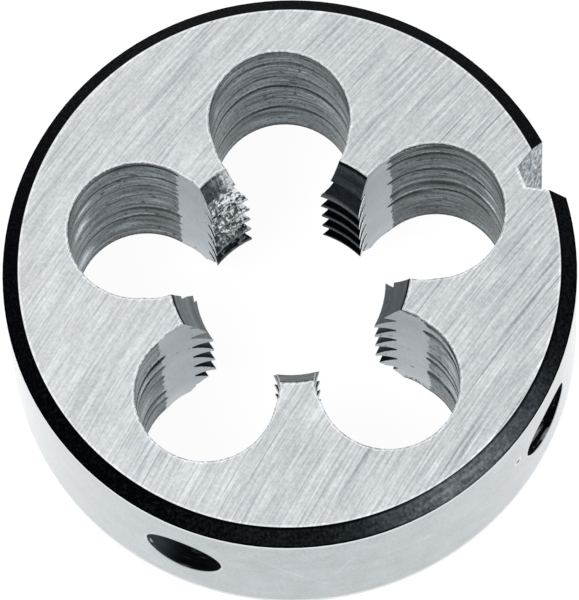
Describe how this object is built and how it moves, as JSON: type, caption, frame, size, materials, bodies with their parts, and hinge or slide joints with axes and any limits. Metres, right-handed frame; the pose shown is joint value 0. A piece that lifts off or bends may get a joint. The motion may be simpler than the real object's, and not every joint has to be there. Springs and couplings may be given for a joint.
{
  "type": "round threading die",
  "caption": "Round closed threading die: a thick ground disc with threaded lands between round clearance holes, black rim chamfers, a slitting notch and conical screw seats.",
  "frame": {"origin": "centre of the bottom face, on the thread axis", "axes": "+Z along the thread axis, from the bottom face to the top face; +Y towards the clearance hole opposite the front; the slitting notch is 18 degrees from +X towards +Y"},
  "size_m": [0.045, 0.045, 0.018],
  "materials": {
    "ground_steel": "surface-ground faces, black oxide left on the rim chamfers, seats and thread"
  },
  "bodies": {
    "root": {"die_body": "ground_steel"}
  },
  "joints": []
}
